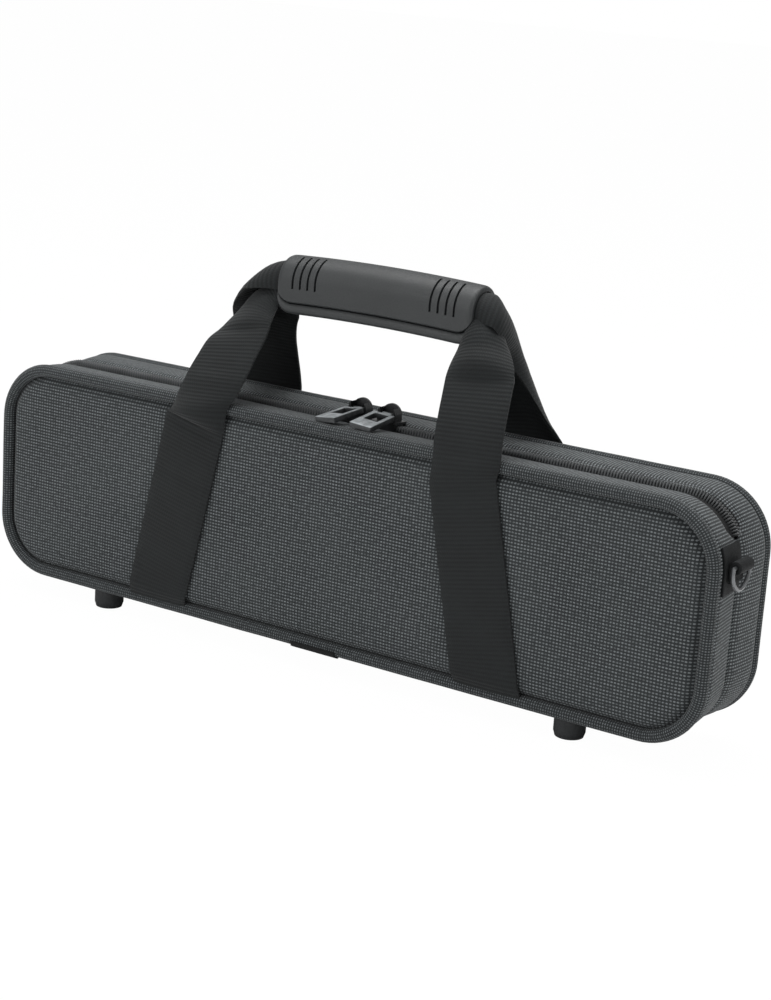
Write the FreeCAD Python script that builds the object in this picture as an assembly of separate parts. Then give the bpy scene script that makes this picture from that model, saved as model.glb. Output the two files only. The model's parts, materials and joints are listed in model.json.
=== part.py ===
import FreeCAD, Part
import math
import os
from FreeCAD import Vector

os.makedirs("parts", exist_ok=True)

# A soft zipped case for a flute in three joints. X runs along the case, -Y is its front, +Z is up.
# The origin lies on the floor, midway between the feet. Lengths are in millimetres, angles in degrees.

# Outside of the case
case_length = 440.0
case_height = 121.0
case_depth = 63.0
corner_radius = 33.0
foot_height = 10.0

# Walls of each half
gusset_inset = 1.0
wall_thickness = 4.0
seam_fall = 1.4
seam_lip = 2.4
board_thickness = 3.5
piping_radius = 3.5
piping_sides = 8
panel_thickness = 3.0
panel_edge_chamfer = 1.2
parting_clearance = 0.3

# Zip
zip_gap = 15.0
zip_end_angle = 64.0
tape_width = 12.0
tape_thickness = 0.8
coil_height = 3.0
coil_width = 3.7
coil_parting = 0.7

# Sliders and pulls
slider_length = 15.0
slider_width = 11.6
slider_plate = 1.3
slider_clearance = 0.4
slider_flange = 1.0
slider_post = 0.7
post_length = 6.0
slider_spacing = 18.0
slider_meeting_x = 8.0
crown_length = 11.0
crown_height = 8.4
crown_shoulder = 3.8
ear_thickness = 1.4
ear_front = 2.2
hood_gap = 2.6
hood_thickness = 1.6
pin_radius = 0.8
pin_height = 3.4
pin_play = 0.5
eye_radius = 2.2
pull_length = 29.0
pull_width = 12.5
pull_thickness = 3.0
pull_neck_width = 5.6
pull_neck_length = 4.6
pull_shoulder_length = 2.6
pull_frame = 2.2
pull_tip = 8.5
pull_corner_radius = 1.6
pull_splay = 6.5
pull_dip = 4.2

# Webbing straps
webbing_width = 38.0
webbing_thickness = 2.0
strap_x = 92.5
strap_lean = 12.1
strap_bend_drop = 13.5
fold_angle = 180.0
flat_angle = 0.5
bend_clearance = 0.1
fold_sides = 6
rear_fold_radius = 8.8
front_fold_radius = 6.2

# Grip
grip_length = 118.0
grip_shift = 7.0
grip_y = 5.0
grip_rise = 63.5
grip_radius = 13.0
grip_wall = 2.8
grip_leg = 10.5
grip_corner_radius = 9.0
lip_depth = 6.0
lip_thickness = 2.6
rib_radius = 4.5
layer_clearance = 0.3
slit_count = 4
slit_width = 1.5
slit_pitch = 4.7
slit_end_distance = 9.5
slit_depth = 0.9
slit_low_angle = 2.0
slit_angle = 68.0

# Tabs and rings for a shoulder strap
patch_seam_distance = 2.6
patch_bead_distance = 4.4
patch_thickness = 1.2
patch_low = 17.0
patch_angle = 23.0
loop_width = 14.5
loop_seam_distance = 5.5
loop_thickness = 1.4
loop_radius = 3.2
loop_drop = 8.0
ring_rise = 31.0
ring_width = 18.6
ring_height = 11.5
ring_wire = 2.2
ring_play = 0.15
ring_wire_sides = 8
ring_bow_sides = 12

# Feet
foot_end_distance = 73.5
foot_face_distance = 11.5
foot_radius = 8.0
foot_base_radius = 7.2
foot_shoulder = 2.5
recess_radius = 3.5
recess_depth = 2.4

# Hinge tape and piping joins
hinge_tape_width = 12.0
hinge_tape_thickness = 0.8
hinge_tape_rise = 2.0
join_width = 28.0
join_thickness = 1.0

# Lining
lining_inset = 7.0
lining_gap = 1.5
plush_thickness = 1.0
cavity_radius = 15.0
cavity_y = 3.0
cavity_row = 27.0
body_joint = (-180.0, 180.0)
head_joint = (-205.0, 27.0)
foot_joint = (50.0, 192.0)

cut_overrun = 1.0

# Places worked out from the sizes above
half_depth = case_depth / 2
bottom = foot_height
top = bottom + case_height
middle = (bottom + top) / 2
run_x = case_length / 2 - corner_radius
run_z = case_height / 2 - corner_radius
board_face = half_depth - piping_radius
board_back = board_face - board_thickness
panel_face = board_face + panel_thickness
panel_inset = 2 * piping_radius
wall_inset = gusset_inset + wall_thickness
tape_inset = gusset_inset + coil_height
tape_end = coil_parting + tape_width
strap_bend = top - strap_bend_drop
grip_z = top + grip_rise
hinge_z = bottom + hinge_tape_rise + hinge_tape_thickness / 2
ring_z = middle + ring_rise
loop_y = loop_seam_distance + loop_width / 2
foot_x = case_length / 2 - foot_end_distance
foot_y = half_depth - foot_face_distance
ring_x = case_length / 2 - gusset_inset + patch_thickness + loop_radius
front = -1
rear = 1
x_axis = Vector(1, 0, 0)
y_axis = Vector(0, 1, 0)
z_axis = Vector(0, 0, 1)


def save(name, shape):
    solids = shape.Solids
    shape = solids[0] if len(solids) == 1 else Part.makeCompound(solids)
    shape.exportStep("parts/" + name + ".step")
    print(name, "solids", len(solids), "valid", shape.isValid(), "volume", round(shape.Volume))


def joined(solids):
    whole = solids[0].multiFuse(solids[1:])
    return whole.removeSplitter()


def span(low, high):
    size = high - low
    return Part.makeBox(size.x, size.y, size.z, low)


def mirrored(shape):
    """The shape and its likeness at the other end of the case."""
    return Part.makeCompound([shape, shape.mirror(Vector(0, 0, 0), x_axis)])


def edge_through(points):
    if len(points) == 2:
        return Part.LineSegment(points[0], points[1]).toShape()
    return Part.Arc(points[0], points[1], points[2]).toShape()


def closed_face(path):
    """A face inside a path of points. A pair in the path is an arc: its middle, then its end."""
    edges = []
    here = path[0]
    for step in path[1:]:
        points = list(step) if isinstance(step, tuple) else [step]
        edges.append(edge_through([here] + points))
        here = points[-1]
    if (here - path[0]).Length > 0:
        edges.append(edge_through([here, path[0]]))
    return Part.Face(Part.Wire(edges))


# Sweeps round the outline. A section is a path of (inset from the outline, distance from the parting).


def section(side, path):
    def placed(point):
        inset, depth = point
        return Vector(0, side * depth, corner_radius - inset)

    steps = []
    for step in path:
        is_arc = isinstance(step[0], tuple)
        steps.append(tuple(placed(point) for point in step) if is_arc else placed(step))
    return closed_face(steps)


def strip_section(side, outer, inner, near, far):
    return section(side, [(outer, near), (outer, far), (inner, far), (inner, near)])


def standing(face, centre, angle):
    turned = face.copy()
    turned.rotate(Vector(0, 0, 0), y_axis, angle)
    turned.translate(centre)
    return turned


def corner_centre(right, up):
    return Vector(right * run_x, 0, middle + up * run_z)


def swept_all_round(face):
    corners = [corner_centre(1, 1), corner_centre(1, -1), corner_centre(-1, -1), corner_centre(-1, 1)]
    pieces = []
    for index, centre in enumerate(corners):
        following = corners[(index + 1) % len(corners)]
        start = 90 * index
        pieces.append(standing(face, centre, start).revolve(centre, y_axis, 90))
        pieces.append(standing(face, centre, start + 90).extrude(following - centre))
    return joined(pieces)


def swept_over_top(face):
    left = corner_centre(-1, 1)
    right = corner_centre(1, 1)
    pieces = [
        standing(face, left, -zip_end_angle).revolve(left, y_axis, zip_end_angle),
        standing(face, left, 0).extrude(right - left),
        standing(face, right, 0).revolve(right, y_axis, zip_end_angle),
    ]
    return joined(pieces)


def rounded_plate(side, inset, near, far):
    """A plate parallel to the panels, in the outline's shape."""
    radius = corner_radius - inset
    diagonal = radius * math.sqrt(0.5)
    y = side * near

    def at(right, up, out_x, out_z):
        centre = corner_centre(right, up)
        return Vector(centre.x + right * out_x, y, centre.z + up * out_z)

    path = [
        at(-1, 1, 0, radius),
        at(1, 1, 0, radius),
        (at(1, 1, diagonal, diagonal), at(1, 1, radius, 0)),
        at(1, -1, radius, 0),
        (at(1, -1, diagonal, diagonal), at(1, -1, 0, radius)),
        at(-1, -1, 0, radius),
        (at(-1, -1, diagonal, diagonal), at(-1, -1, radius, 0)),
        at(-1, 1, radius, 0),
        (at(-1, 1, diagonal, diagonal), at(-1, 1, 0, radius)),
    ]
    return closed_face(path).extrude(Vector(0, side * (far - near), 0))


# The two halves


def bead_section(side, radius):
    """The piping's round, drawn with a few flat sides."""
    path = []
    for index in range(piping_sides):
        turn = 2 * math.pi * index / piping_sides
        path.append((piping_radius - radius * math.cos(turn), board_face + radius * math.sin(turn)))
    return section(side, path)


def gusset_section(side):
    """The padded wall. It falls a little towards the seam and ends there in a folded lip."""
    seam_inset = gusset_inset + seam_fall
    belly_inset = gusset_inset + seam_fall / 4
    return section(side, [
        (tape_inset, parting_clearance),
        (seam_inset + seam_lip / 2, parting_clearance),
        (seam_inset, parting_clearance + seam_lip),
        (belly_inset, board_back / 2),
        (gusset_inset, board_back),
        (gusset_inset, board_face),
        (wall_inset, board_face),
        (wall_inset, tape_end),
        (tape_inset, tape_end),
    ])


def upright(radius, low, high, x, y):
    return Part.makeCylinder(radius, high - low, Vector(x, y, low))


def foot_places(side):
    return [(-foot_x, side * foot_y), (foot_x, side * foot_y)]


def half_shell(side, piping):
    wall = swept_all_round(gusset_section(side))
    board = rounded_plate(side, wall_inset, board_back, board_face)
    shell = joined([wall, board]).cut(piping)
    inner = wall_inset + cut_overrun
    zip_channel = strip_section(side, -cut_overrun, inner, -cut_overrun, zip_gap / 2)
    shell = shell.cut(swept_over_top(zip_channel))
    hinge_top = bottom + hinge_tape_rise + hinge_tape_thickness
    reach = hinge_tape_width / 2 + parting_clearance
    shell = shell.cut(span(Vector(-run_x, -reach, 0), Vector(run_x, reach, hinge_top)))
    return shell


def panel(side):
    plate = rounded_plate(side, panel_inset, board_face, panel_face)
    rim = [edge for edge in plate.Edges if abs(edge.CenterOfMass.y) > panel_face - panel_edge_chamfer]
    return plate.makeChamfer(panel_edge_chamfer, rim)


def zip_tape(side):
    inner = tape_inset + tape_thickness
    return swept_over_top(strip_section(side, tape_inset, inner, coil_parting, tape_end))


def zip_coil(side):
    """One side of the closed chain: flat below, round above."""
    far = coil_parting + coil_width
    crest = coil_parting + coil_width / 2
    return swept_over_top(section(side, [
        (tape_inset, coil_parting),
        (gusset_inset + coil_height / 6, coil_parting),
        (gusset_inset, crest),
        (gusset_inset + coil_height / 2, far),
        (tape_inset, far),
    ]))


def piping_join(side, shell, piping):
    """A patch over the place where the two ends of the piping meet."""
    outer = piping_radius + join_thickness
    start = Vector(-join_width / 2, 0, middle - run_z)
    sleeve = standing(bead_section(side, outer), start, 180).extrude(Vector(join_width, 0, 0))
    low = Vector(-join_width, side * board_face - outer, bottom - outer)
    high = Vector(join_width, side * board_face + outer, bottom + piping_radius)
    return sleeve.common(span(low, high)).cut(piping).cut(shell)


def feet(side, shell, piping):
    high = bottom + gusset_inset + seam_fall
    path = [
        Vector(0, 0, 0),
        Vector(foot_base_radius, 0, 0),
        Vector(foot_radius, 0, foot_shoulder),
        Vector(foot_radius, 0, high),
        Vector(0, 0, high),
    ]
    blank = closed_face(path).revolve(Vector(0, 0, 0), z_axis, 360)
    pieces = []
    for x, y in foot_places(side):
        foot = blank.copy()
        foot.translate(Vector(x, y, 0))
        foot = foot.cut(upright(recess_radius, -cut_overrun, recess_depth, x, y))
        pieces.append(foot.cut(shell).cut(piping))
    return Part.makeCompound(pieces)


def hinge_tape():
    low = hinge_z - hinge_tape_thickness / 2
    half = hinge_tape_width / 2
    inset = Vector(parting_clearance, 0, 0)
    corner = Vector(run_x, half, low + hinge_tape_thickness)
    return span(Vector(-run_x, -half, low) + inset, corner - inset)


# Lining


def trough(radius, extra):
    """The hollows for the three flute joints, lengthened at both ends by extra."""
    pieces = []
    for ends, row in ((body_joint, cavity_row), (head_joint, -cavity_row), (foot_joint, -cavity_row)):
        start = Vector(ends[0] - extra, cavity_y, middle + row)
        pieces.append(Part.makeCylinder(radius, ends[1] - ends[0] + 2 * extra, start, x_axis))
    return Part.makeCompound(pieces)


def foam(side):
    block = rounded_plate(side, lining_inset, lining_gap + plush_thickness, board_back)
    return block.cut(trough(cavity_radius + plush_thickness, plush_thickness))


def plush(side, block):
    """The lining's skin: a sheet over the foam's face that dips into the hollows."""
    whole = rounded_plate(side, lining_inset, lining_gap, board_back)
    return whole.cut(block).cut(trough(cavity_radius, 0))


# Zip sliders, each with a pull on a pin


def slider(centre_x):
    plate_low = top - gusset_inset + slider_clearance
    plate_high = plate_low + slider_plate
    half_length = slider_length / 2
    half_width = slider_width / 2
    under_high = top - tape_inset - tape_thickness - slider_clearance
    under_low = under_high - slider_plate
    flange_low = top - tape_inset + slider_clearance
    pieces = [
        span(Vector(-half_length, -half_width, plate_low), Vector(half_length, half_width, plate_high)),
        span(Vector(-half_length, -half_width, under_low), Vector(half_length, half_width, under_high)),
        span(
            Vector(-post_length / 2, -slider_post / 2, under_low),
            Vector(post_length / 2, slider_post / 2, plate_high),
        ),
    ]
    for side in (front, rear):
        inner = side * (half_width - slider_flange)
        outer = side * half_width
        low = Vector(-half_length, min(inner, outer), flange_low)
        pieces.append(span(low, Vector(half_length, max(inner, outer), plate_high)))
    pieces.append(crown(plate_high))
    body = joined(pieces)
    body.translate(Vector(centre_x, 0, 0))
    return body


def crown(base):
    """An arched hood behind the pin, with an ear at each end to hold it."""
    half = crown_length / 2
    back = hood_gap + hood_thickness
    arch = closed_face([
        Vector(-half, -ear_front, base - slider_plate / 2),
        Vector(-half, -ear_front, base + crown_shoulder),
        (Vector(0, -ear_front, base + crown_height), Vector(half, -ear_front, base + crown_shoulder)),
        Vector(half, -ear_front, base - slider_plate / 2),
    ]).extrude(Vector(0, ear_front + back, 0))
    inside = half - ear_thickness
    space = span(
        Vector(-inside, -ear_front - cut_overrun, base),
        Vector(inside, hood_gap, base + crown_height + cut_overrun),
    )
    pin = Part.makeCylinder(pin_radius, crown_length, Vector(-half, 0, base + pin_height), x_axis)
    return arch.cut(space).fuse(pin)


def pull(centre_x):
    """A frame-shaped pull, drawn level and pointing to the front, then dipped and splayed."""
    half_neck = pull_neck_width / 2
    half_width = pull_width / 2
    shoulder = pull_neck_length + pull_shoulder_length
    low = -pull_thickness / 2
    outline = closed_face([
        Vector(-half_neck, 0, low),
        Vector(-half_neck, -pull_neck_length, low),
        Vector(-half_width, -shoulder, low),
        Vector(-half_width, -pull_length, low),
        Vector(half_width, -pull_length, low),
        Vector(half_width, -shoulder, low),
        Vector(half_neck, -pull_neck_length, low),
        Vector(half_neck, 0, low),
    ])
    body = outline.extrude(Vector(0, 0, pull_thickness))
    tip = [edge for edge in body.Edges if is_tip_corner(edge)]
    body = body.makeFillet(pull_corner_radius, tip)
    inner = half_width - pull_frame
    window_near = -pull_length + pull_tip
    window_far = -shoulder - pull_frame / 2
    body = body.cut(span(
        Vector(-inner, window_near, low - cut_overrun),
        Vector(inner, window_far, -low + cut_overrun),
    ))
    eye = Part.makeCylinder(eye_radius, pull_neck_width, Vector(-half_neck, 0, 0), x_axis)
    bore = Part.makeCylinder(pin_radius + pin_play, pull_neck_width, Vector(-half_neck, 0, 0), x_axis)
    body = body.fuse(eye).cut(bore).removeSplitter()
    body.rotate(Vector(0, 0, 0), x_axis, pull_dip)
    body.rotate(Vector(0, 0, 0), z_axis, pull_splay)
    pin_z = top - gusset_inset + slider_clearance + slider_plate + pin_height
    body.translate(Vector(centre_x, 0, pin_z))
    return body


def is_tip_corner(edge):
    upright_edge = abs(edge.Length - pull_thickness) < pull_thickness / 100
    return upright_edge and edge.CenterOfMass.y < -pull_length + pull_frame


# Straps


def strap_centre(z):
    return strap_x - (z - middle) * math.tan(math.radians(strap_lean))


def sewn_straps(side):
    """Webbing sewn to the panel, from the piping up to the line where it bends."""
    half_cut = webbing_width / 2 / math.cos(math.radians(strap_lean))
    low = bottom + panel_inset
    y = side * panel_face
    face = closed_face([
        Vector(strap_centre(low) - half_cut, y, low),
        Vector(strap_centre(low) + half_cut, y, low),
        Vector(strap_centre(strap_bend) + half_cut, y, strap_bend),
        Vector(strap_centre(strap_bend) - half_cut, y, strap_bend),
    ])
    return mirrored(face.extrude(Vector(0, side * webbing_thickness, 0)))


# Stations of a free strap end, from its bend line to the grip. Each row gives shares of the way in,
# of the way over to the grip, of the rise, of the quarter turn and of the fold.
front_strap_shares = [
    (0.00, 0.00, 0.00, 0.00, 0.00),
    (0.10, -0.05, 0.13, 0.00, 0.00),
    (0.24, 0.16, 0.33, 0.00, 0.00),
    (0.36, 0.38, 0.50, 0.04, 0.03),
    (0.27, 0.53, 0.63, 0.20, 0.22),
    (0.19, 0.64, 0.73, 0.50, 0.55),
    (0.24, 0.81, 0.84, 0.85, 0.90),
    (0.40, 0.94, 0.94, 1.00, 0.97),
    (0.62, 1.00, 0.99, 1.00, 1.00),
    (1.00, 1.00, 1.00, 1.00, 1.00),
]
rear_strap_shares = [
    (0.00, 0.00, 0.00, 0.00, 0.00),
    (0.08, -0.08, 0.13, 0.00, 0.00),
    (0.38, 0.17, 0.33, 0.00, 0.00),
    (0.38, 0.36, 0.49, 0.00, 0.00),
    (0.26, 0.50, 0.61, 0.10, 0.05),
    (0.09, 0.62, 0.71, 0.28, 0.16),
    (0.00, 0.78, 0.82, 0.62, 0.45),
    (0.02, 0.92, 0.92, 0.90, 0.80),
    (0.24, 0.99, 0.985, 1.00, 0.95),
    (0.56, 1.00, 1.00, 1.00, 1.00),
    (1.00, 1.00, 1.00, 1.00, 1.00),
]


def webbing_outline(centre, across, outward, fold_radius, fold):
    """The corners of the webbing's section: bent round the fold, with a straight leg at each side."""
    full = math.radians(fold_angle)
    flat = math.radians(flat_angle)
    arc_length = fold_radius * full
    radius = arc_length / (flat + (full - flat) * fold)

    def point(place, lift):
        bent = max(-arc_length / 2, min(arc_length / 2, place))
        turn = bent / radius
        beyond = place - bent
        along = (radius + lift) * math.sin(turn) + beyond * math.cos(turn)
        out = (radius + lift) * math.cos(turn) - radius - beyond * math.sin(turn)
        return centre + across * along + outward * out

    places = [webbing_width * (index / fold_sides - 0.5) for index in range(fold_sides + 1)]
    half = webbing_thickness / 2
    return [point(place, half) for place in places] + [point(place, -half) for place in reversed(places)]


def flipped(vector):
    return Vector(-vector.x, vector.y, vector.z)


def faceted(outlines):
    """A solid with flat three-sided faces from each outline to the next, and a flat face at each end."""
    faces = [closed_face(outlines[0]), closed_face(outlines[-1])]
    for here, following in zip(outlines, outlines[1:]):
        for index in range(len(here)):
            corners = [here[index - 1], here[index], following[index], following[index - 1]]
            if (corners[3] - corners[1]).Length < (corners[2] - corners[0]).Length:
                corners = corners[1:] + corners[:1]
            faces.append(closed_face(corners[:3]))
            faces.append(closed_face([corners[2], corners[3], corners[0]]))
    shell = Part.makeShell(faces)
    shell.sewShape()
    return Part.makeSolid(shell)


def strap_loop(side, shares, fold_radius):
    """A free loop of webbing: up from one sewn length, folded through the grip, down to the other."""
    start_y = side * (panel_face + webbing_thickness / 2 + bend_clearance)
    start = Vector(strap_centre(strap_bend), start_y, strap_bend)
    finish = Vector(grip_length / 2, grip_y, grip_z + fold_radius)
    way = finish - start
    centres = []
    for inward, over, rise, turn, fold in shares:
        centres.append(start + Vector(way.x * inward, way.y * over, way.z * rise))
    stations = []
    for index, (inward, over, rise, turn, fold) in enumerate(shares):
        tangent = centres[min(index + 1, len(centres) - 1)] - centres[max(index - 1, 0)]
        if index == 0:
            tangent = Vector(0, 0, 1)
        if fold == 1:
            tangent = Vector(-1, 0, 0)
        tangent.normalize()
        angle = math.radians(90 * turn)
        across = Vector(math.cos(angle), -side * math.sin(angle), 0)
        across = (across - tangent * across.dot(tangent)).normalize()
        outward = across.cross(tangent) * -side
        stations.append((centres[index], across, outward, fold))
    for centre, across, outward, fold in stations[::-1]:
        stations.append((flipped(centre), flipped(across), flipped(outward), fold))
    outlines = []
    for centre, across, outward, fold in stations:
        sideways = Vector(grip_shift * (centre.z - start.z) / way.z, 0, 0)
        outlines.append(webbing_outline(centre + sideways, across, outward, fold_radius, fold))
    return faceted(outlines)


# The grip, closed round both straps


def grip_point(across, up):
    return Vector(-grip_length / 2, grip_y + across, grip_z + up)


def shifted(shape):
    """The shape where the grip rests: a little nearer the right end than the middle."""
    shape.translate(Vector(grip_shift, 0, 0))
    return shape


def grip_cover():
    inner = grip_radius - grip_wall
    shell = closed_face([
        grip_point(grip_radius, 0),
        (grip_point(0, grip_radius), grip_point(-grip_radius, 0)),
        grip_point(-grip_radius, -grip_leg),
        grip_point(-inner, -grip_leg),
        grip_point(-inner, 0),
        (grip_point(0, inner), grip_point(inner, 0)),
    ]).extrude(Vector(grip_length, 0, 0))
    shell = shell.cut(mirrored(corner_waste(-grip_leg, 0)))
    return shell.cut(Part.makeCompound(slits()))


def corner_waste(low, far):
    """What is cut away to round a lower corner, from the front back to the far side."""
    end = grip_length / 2
    start = grip_y - grip_radius - cut_overrun
    centre = Vector(end - grip_corner_radius, start, grip_z + low + grip_corner_radius)
    depth = grip_y + far - start
    box_low = centre - Vector(0, 0, grip_corner_radius + cut_overrun)
    box_high = centre + Vector(grip_corner_radius + cut_overrun, depth, 0)
    return span(box_low, box_high).cut(Part.makeCylinder(grip_corner_radius, depth, centre, y_axis))


def slits():
    start_angle = 180 - slit_low_angle - slit_angle
    rings = []
    for index in range(slit_count):
        x = grip_length / 2 - slit_end_distance - index * slit_pitch
        centre = Vector(x - slit_width / 2, grip_y, grip_z)
        near = grip_radius - slit_depth
        face = closed_face([
            centre + Vector(0, near, 0),
            centre + Vector(0, grip_radius + cut_overrun, 0),
            centre + Vector(slit_width, grip_radius + cut_overrun, 0),
            centre + Vector(slit_width, near, 0),
        ])
        face.rotate(centre, x_axis, start_angle)
        rings.append(mirrored(face.revolve(centre, x_axis, slit_angle)))
    return rings


def grip_cradle():
    """The lower half of the grip: a rear wall, a floor with a front lip, and a rib under the straps."""
    inner = grip_radius - grip_wall
    floor_low = -grip_leg - lip_depth
    floor_high = floor_low + lip_thickness
    wall_high = -layer_clearance
    lip_high = -grip_leg - layer_clearance
    block = closed_face([
        grip_point(grip_radius, wall_high),
        grip_point(grip_radius, floor_low),
        grip_point(-grip_radius, floor_low),
        grip_point(-grip_radius, lip_high),
        grip_point(-inner, lip_high),
        grip_point(-inner, floor_high),
        grip_point(-rib_radius, floor_high),
        grip_point(-rib_radius, 0),
        (grip_point(0, rib_radius), grip_point(rib_radius, 0)),
        grip_point(rib_radius, floor_high),
        grip_point(inner, floor_high),
        grip_point(inner, wall_high),
    ]).extrude(Vector(grip_length, 0, 0))
    return block.cut(mirrored(corner_waste(floor_low, grip_radius + cut_overrun)))


# End tabs


def ring_patch(shell):
    centre = corner_centre(1, 1)
    seam_inset = gusset_inset + seam_fall
    far = board_face - patch_bead_distance
    face = section(front, [
        (seam_inset - patch_thickness, patch_seam_distance),
        (gusset_inset - patch_thickness, far),
        (gusset_inset + seam_fall, far),
        (seam_inset + seam_fall, patch_seam_distance),
    ])
    curved = standing(face, centre, 90 - patch_angle).revolve(centre, y_axis, patch_angle)
    straight = standing(face, centre, 90).extrude(Vector(0, 0, patch_low - run_z))
    return mirrored(joined([curved, straight]).cut(shell))


def ring_loop():
    """A strip of webbing rolled round the ring's bar, its tail sewn to the patch."""
    y = -loop_y - loop_width / 2
    centre = Vector(ring_x, y, ring_z)
    back = ring_x - loop_radius
    roll = Part.makeCylinder(loop_radius, loop_width, centre, y_axis)
    tail = span(
        Vector(back, y, ring_z - loop_drop),
        Vector(back + loop_thickness, y + loop_width, ring_z),
    )
    bore = Part.makeCylinder(ring_wire / 2 + ring_play, loop_width, centre, y_axis)
    return joined([roll, tail]).cut(bore)


def d_ring(hand):
    half = ring_width / 2
    wire = ring_wire / 2
    arc_radius = (half * half + ring_height * ring_height) / (2 * ring_height)
    arc_z = arc_radius - ring_height
    rise = math.asin(-arc_z / arc_radius)
    path = [Vector(0, half - wire, 0)]
    for index in range(ring_bow_sides + 1):
        angle = rise - (math.pi + 2 * rise) * index / ring_bow_sides
        path.append(Vector(0, arc_radius * math.cos(angle), arc_z + arc_radius * math.sin(angle)))
    path.append(Vector(0, wire - half, 0))
    outlines = []
    for index, point in enumerate(path):
        arriving = (path[max(index, 1)] - path[max(index, 1) - 1]).normalize()
        leaving = (path[min(index + 1, len(path) - 1)] - path[min(index, len(path) - 2)]).normalize()
        way = (arriving + leaving).normalize()
        outlines.append(wire_outline(point, way, wire, wire / way.dot(arriving)))
    bar = Part.makeCylinder(wire, ring_width - 2 * wire, Vector(0, wire - half, 0), y_axis)
    ring = joined([bar, faceted(outlines)])
    ring.translate(Vector(hand * ring_x, -loop_y, ring_z))
    return ring


def wire_outline(point, way, width, height):
    """The corners of the wire's section, stretched in height where the wire turns a corner."""
    square = x_axis.cross(way)
    corners = []
    for index in range(ring_wire_sides):
        turn = 2 * math.pi * index / ring_wire_sides
        corners.append(point + x_axis * (width * math.cos(turn)) + square * (height * math.sin(turn)))
    return corners


for side, half in ((rear, "rear"), (front, "front")):
    piping = swept_all_round(bead_section(side, piping_radius))
    shell = half_shell(side, piping)
    save(half + "_shell", shell)
    save(half + "_piping", piping)
    save(half + "_panel", panel(side))
    save(half + "_zip_tape", zip_tape(side))
    save(half + "_zip_coil", zip_coil(side))
    save(half + "_piping_join", piping_join(side, shell, piping))
    save(half + "_feet", feet(side, shell, piping))
    save(half + "_straps_sewn", sewn_straps(side))
    block = foam(side)
    save("tray_foam" if side == rear else "lid_foam", block)
    save("tray_plush" if side == rear else "lid_plush", plush(side, block))

save("hinge_tape", hinge_tape())
save("ring_patches", ring_patch(shell))
save("ring_loops", mirrored(ring_loop()))
for hand, name in ((-1, "left"), (1, "right")):
    centre_x = slider_meeting_x + hand * slider_spacing / 2
    save("slider_" + name, slider(centre_x))
    save("pull_" + name, pull(centre_x))
    save("d_ring_" + name, d_ring(hand))
save("rear_strap_loop", strap_loop(rear, rear_strap_shares, rear_fold_radius))
save("front_strap_loop", strap_loop(front, front_strap_shares, front_fold_radius))
save("grip_cradle", shifted(grip_cradle()))
save("grip_cover", shifted(grip_cover()))
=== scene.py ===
import json
import math

import bmesh
import bpy
from mathutils import Matrix, Vector, noise
from mathutils.bvhtree import BVHTree

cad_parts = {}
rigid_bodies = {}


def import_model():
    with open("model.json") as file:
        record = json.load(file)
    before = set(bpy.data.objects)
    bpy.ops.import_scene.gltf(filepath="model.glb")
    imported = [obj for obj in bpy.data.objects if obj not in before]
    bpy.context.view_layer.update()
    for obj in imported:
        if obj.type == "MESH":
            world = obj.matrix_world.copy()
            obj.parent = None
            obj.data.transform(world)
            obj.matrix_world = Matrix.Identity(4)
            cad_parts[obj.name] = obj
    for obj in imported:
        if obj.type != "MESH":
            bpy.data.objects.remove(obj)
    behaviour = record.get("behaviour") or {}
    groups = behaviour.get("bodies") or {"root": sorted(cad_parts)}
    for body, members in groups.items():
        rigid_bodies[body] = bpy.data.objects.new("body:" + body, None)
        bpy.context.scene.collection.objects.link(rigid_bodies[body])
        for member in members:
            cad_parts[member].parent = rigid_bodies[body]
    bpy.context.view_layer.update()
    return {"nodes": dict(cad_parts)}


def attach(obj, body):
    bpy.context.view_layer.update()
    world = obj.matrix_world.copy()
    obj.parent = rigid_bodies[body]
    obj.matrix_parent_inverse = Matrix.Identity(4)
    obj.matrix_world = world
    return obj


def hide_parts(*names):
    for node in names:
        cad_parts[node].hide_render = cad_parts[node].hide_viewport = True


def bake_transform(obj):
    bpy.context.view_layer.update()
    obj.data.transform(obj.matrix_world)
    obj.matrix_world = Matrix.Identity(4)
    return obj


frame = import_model()
nodes = frame["nodes"]
mm = 0.001

# The case's outside, in millimetres. Its panels face -Y and +Y, the zip runs over the top.
case = {"corner": 33.0, "runX": 187.0, "runZ": 27.5, "middle": 70.5, "pipingRadius": 3.5, "pipingDepth": 28.0,
        "zipHalf": 7.5, "zipEnd": math.radians(62), "strapAt": 92.5, "strapLean": math.radians(12.1)}
bodies = {-1: ("front", "lid"), 1: ("rear", "base")}


# The photo's camera, fitted to the case's corners, and three soft lamps.

shot = {"place": (0.595465, -0.907569, 0.368280), "yaw": 32.437, "pitch": 14.518, "roll": 3.915, "lens": 77.476}
camera = bpy.data.objects.new("camera", bpy.data.cameras.new("camera"))
bpy.context.collection.objects.link(camera)
yaw, pitch, roll = (math.radians(shot[key]) for key in ("yaw", "pitch", "roll"))
ahead = Vector((-math.sin(yaw) * math.cos(pitch), math.cos(yaw) * math.cos(pitch), -math.sin(pitch)))
level = ahead.cross(Vector((0, 0, 1))).normalized()
steep = level.cross(ahead)
sideways = level * math.cos(roll) + steep * math.sin(roll)
upward = steep * math.cos(roll) - level * math.sin(roll)
camera.matrix_world = Matrix.Translation(shot["place"]) @ Matrix((sideways, upward, -ahead)).transposed().to_4x4()
camera.data.lens = shot["lens"]
camera.data.sensor_width = 36.0
bpy.context.scene.camera = camera
bpy.context.scene.view_settings.view_transform = "Standard"

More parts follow.
